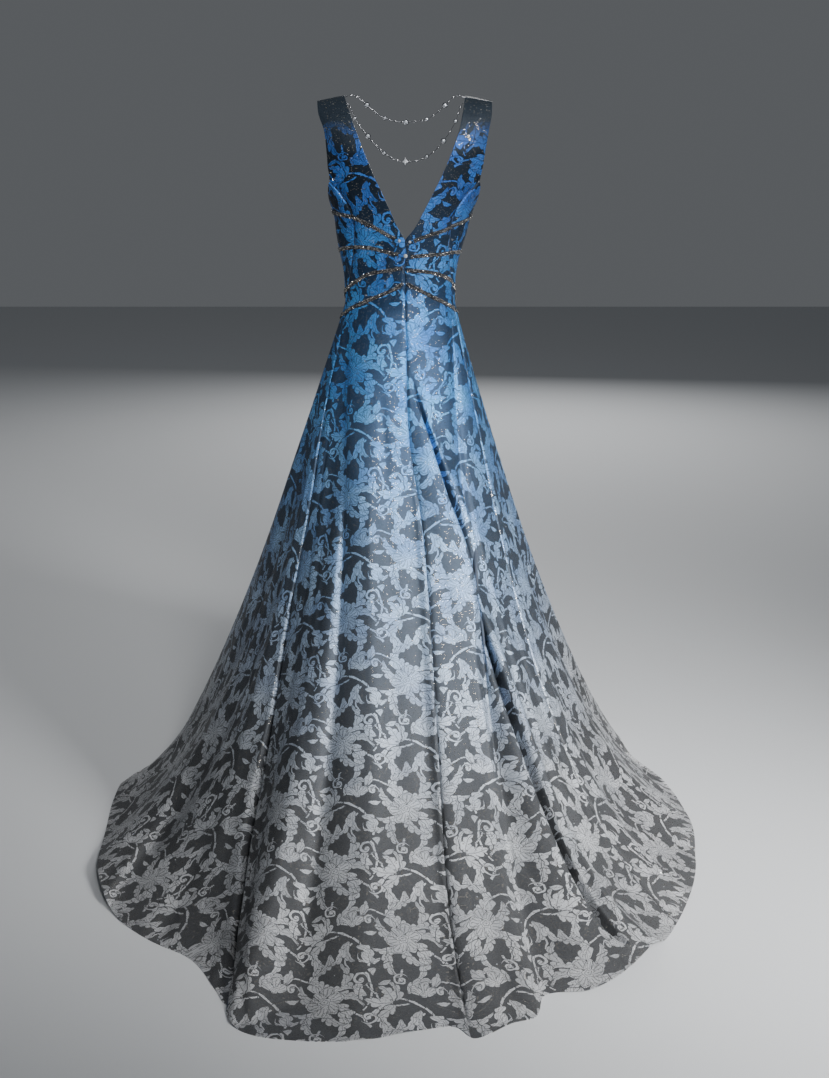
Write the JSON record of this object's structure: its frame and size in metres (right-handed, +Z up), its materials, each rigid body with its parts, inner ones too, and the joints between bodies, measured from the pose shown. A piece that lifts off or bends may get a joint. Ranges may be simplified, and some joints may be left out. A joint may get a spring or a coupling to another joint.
{
  "type": "evening gown",
  "caption": "Sleeveless full-length gown with a deep V back, bead strands across it, beaded waist bands and a swept train, filled out with no wearer.",
  "frame": {"origin": "halfway between the two shoulder seams, where the wearer's shoulders hold the gown up", "axes": "+Z up; the wearer faces +Y, so the back and the train lie towards -Y; +X is the wearer's right side"},
  "size_m": [1.2561, 1.5563, 1.5056],
  "materials": {
    "brocade": "jacquard brocade with a metallic weft, blue above fading to silver grey at the hem",
    "beading": "close rows of dark glass seed beads",
    "glass": "clear faceted glass stones",
    "silver": "silver-coloured wire links and beads"
  },
  "bodies": {
    "root": {"front": "brocade", "back_left": "brocade", "back_right": "brocade", "side_back_left": "brocade", "side_back_right": "brocade", "band_left_1": "beading", "band_left_2": "beading", "band_left_3": "beading", "band_left_4": "beading", "band_right_1": "beading", "band_right_2": "beading", "band_right_3": "beading", "band_right_4": "beading", "crystal_centre": "glass", "crystal_left": "glass", "crystal_right": "glass", "strand_upper": "silver", "strand_lower": "silver", "bead_upper_1": "silver", "bead_upper_2": "silver", "bead_upper_3": "silver", "bead_upper_4": "silver", "bead_upper_5": "silver", "bead_lower_1": "silver", "bead_lower_2": "silver", "bead_lower_3": "silver", "bead_lower_4": "silver", "bead_lower_5": "silver", "bead_lower_6": "silver", "drop_stone": "glass"}
  },
  "joints": []
}
